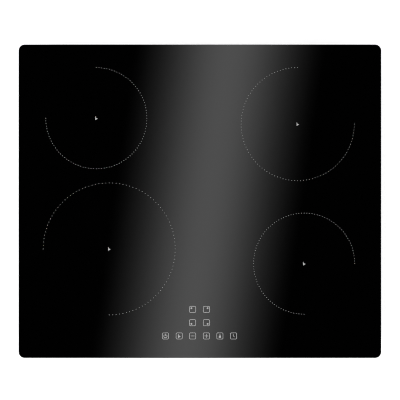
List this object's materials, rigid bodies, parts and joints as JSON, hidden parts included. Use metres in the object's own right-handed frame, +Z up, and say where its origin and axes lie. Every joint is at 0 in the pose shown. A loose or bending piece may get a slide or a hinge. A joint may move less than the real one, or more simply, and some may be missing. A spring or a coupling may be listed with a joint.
{
  "type": "electric induction cooktop",
  "caption": "Built-in induction cooktop: frameless black glass plate with dotted cooking zones and touch keys over a folded sheet case with coils, boards and fans.",
  "frame": {"origin": "middle of the flat underside of the case, at the lowest point", "axes": "+X to the right of a cook who stands at the touch keys, +Y to the rear, +Z up through the glass"},
  "size_m": [0.59, 0.51, 0.056],
  "materials": {
    "black_glass": "polished glass-ceramic",
    "seal_foam": "matt foam",
    "galvanised_steel": "galvanised, spangled",
    "zinc_screws": "zinc plated",
    "zinc_steel": "zinc plated",
    "spring_steel": "blued spring strip",
    "aluminium_plate": "mill finish",
    "copper_wire": "enamelled stranded copper",
    "ferrite": "sintered, matt",
    "fibre_disc": "pressed ceramic fibre",
    "sensor_silicone": "moulded silicone",
    "contact_rubber": "conductive rubber",
    "lead_sleeve": "glass-silk sleeve",
    "wire_sleeve": "PVC sleeve",
    "white_nylon": "glass-filled nylon",
    "cream_plastic": "moulded",
    "black_plastic": "moulded, fine texture",
    "fan_plastic": "moulded",
    "display_plastic": "moulded",
    "green_board": "solder mask",
    "blue_board": "solder mask",
    "black_resin": "moulded resin",
    "red_film": "dipped resin"
  },
  "bodies": {
    "coil_rear_left": {"coil_carrier_rear_left": "white_nylon", "coil_winding_rear_left": "copper_wire", "ferrite_bars_rear_left": "ferrite", "insulation_disc_rear_left": "fibre_disc", "pan_sensor_rear_left": "sensor_silicone"},
    "coil_rear_right": {"coil_carrier_rear_right": "white_nylon", "coil_winding_rear_right": "copper_wire", "ferrite_bars_rear_right": "ferrite", "insulation_disc_rear_right": "fibre_disc", "pan_sensor_rear_right": "sensor_silicone"},
    "coil_front_left": {"coil_carrier_front_left": "white_nylon", "coil_winding_front_left": "copper_wire", "ferrite_bars_front_left": "ferrite", "insulation_disc_front_left": "fibre_disc", "pan_sensor_front_left": "sensor_silicone"},
    "coil_front_right": {"coil_carrier_front_right": "white_nylon", "coil_winding_front_right": "copper_wire", "ferrite_bars_front_right": "ferrite", "insulation_disc_front_right": "fibre_disc", "pan_sensor_front_right": "sensor_silicone"},
    "bracket_rear_left": {"fixing_bracket_rear_left": "zinc_steel"},
    "bracket_rear_right": {"fixing_bracket_rear_right": "zinc_steel"},
    "bracket_front_left": {"fixing_bracket_front_left": "zinc_steel"},
    "bracket_front_right": {"fixing_bracket_front_right": "zinc_steel"},
    "fan_left": {"fan_rotor_left": "fan_plastic"},
    "fan_right": {"fan_rotor_right": "fan_plastic"},
    "terminal_lid": {"terminal_cover": "black_plastic"},
    "root": {"glass_top": "black_glass", "rim_seal": "seal_foam", "top_frame": "galvanised_steel", "case_pan": "galvanised_steel", "assembly_screws": "zinc_screws", "board_supports": "white_nylon", "power_transistors": "black_resin", "film_capacitors": "red_film", "filter_chokes": "copper_wire", "terminal_box": "black_plastic", "terminal_block": "cream_plastic", "cable_gland": "black_plastic", "touch_carrier": "black_plastic", "touch_board": "blue_board", "touch_springs": "contact_rubber", "number_displays": "display_plastic", "wiring_harness": "wire_sleeve", "coil_plate_left": "aluminium_plate", "power_board_left": "green_board", "heatsink_left": "aluminium_plate", "fan_housing_left": "black_plastic", "coil_plate_right": "aluminium_plate", "power_board_right": "green_board", "heatsink_right": "aluminium_plate", "fan_housing_right": "black_plastic", "coil_springs_rear_left": "spring_steel", "coil_leads_rear_left": "lead_sleeve", "coil_springs_rear_right": "spring_steel", "coil_leads_rear_right": "lead_sleeve", "coil_springs_front_left": "spring_steel", "coil_leads_front_left": "lead_sleeve", "coil_springs_front_right": "spring_steel", "coil_leads_front_right": "lead_sleeve"}
  },
  "joints": [
    {"name": "coil_float_rear_left", "type": "slide", "parent": "root", "child": "coil_rear_left", "axis": [0, 0, 1], "range_m": [-0.003, 0], "stiffness_N_per_m": 5000, "springref_m": 0.004, "deforming": ["coil_springs_rear_left", "coil_leads_rear_left"]},
    {"name": "coil_float_rear_right", "type": "slide", "parent": "root", "child": "coil_rear_right", "axis": [0, 0, 1], "range_m": [-0.003, 0], "stiffness_N_per_m": 5000, "springref_m": 0.004, "deforming": ["coil_springs_rear_right", "coil_leads_rear_right"]},
    {"name": "coil_float_front_left", "type": "slide", "parent": "root", "child": "coil_front_left", "axis": [0, 0, 1], "range_m": [-0.003, 0], "stiffness_N_per_m": 5000, "springref_m": 0.004, "deforming": ["coil_springs_front_left", "coil_leads_front_left"]},
    {"name": "coil_float_front_right", "type": "slide", "parent": "root", "child": "coil_front_right", "axis": [0, 0, 1], "range_m": [-0.003, 0], "stiffness_N_per_m": 5000, "springref_m": 0.004, "deforming": ["coil_springs_front_right", "coil_leads_front_right"]},
    {"name": "bracket_swing_rear_left", "type": "hinge", "parent": "root", "child": "bracket_rear_left", "pos_m": [-0.2645, 0.15, 0.005], "axis": [0, 0, -1], "range_deg": [0, 90]},
    {"name": "bracket_swing_rear_right", "type": "hinge", "parent": "root", "child": "bracket_rear_right", "pos_m": [0.2645, 0.15, 0.005], "axis": [0, 0, 1], "range_deg": [0, 90]},
    {"name": "bracket_swing_front_left", "type": "hinge", "parent": "root", "child": "bracket_front_left", "pos_m": [-0.2645, -0.15, 0.005], "axis": [0, 0, 1], "range_deg": [0, 90]},
    {"name": "bracket_swing_front_right", "type": "hinge", "parent": "root", "child": "bracket_front_right", "pos_m": [0.2645, -0.15, 0.005], "axis": [0, 0, -1], "range_deg": [0, 90]},
    {"name": "fan_spin_left", "type": "hinge", "parent": "root", "child": "fan_left", "pos_m": [-0.062, 0.15, 0.01], "axis": [0, 0, 1], "continuous": true},
    {"name": "fan_spin_right", "type": "hinge", "parent": "root", "child": "fan_right", "pos_m": [0.062, 0.15, 0.01], "axis": [0, 0, 1], "continuous": true},
    {"name": "terminal_lid_hinge", "type": "hinge", "parent": "root", "child": "terminal_lid", "pos_m": [0.206, 0.2382, 0.0415], "axis": [1, 0, 0], "range_deg": [0, 90]}
  ]
}
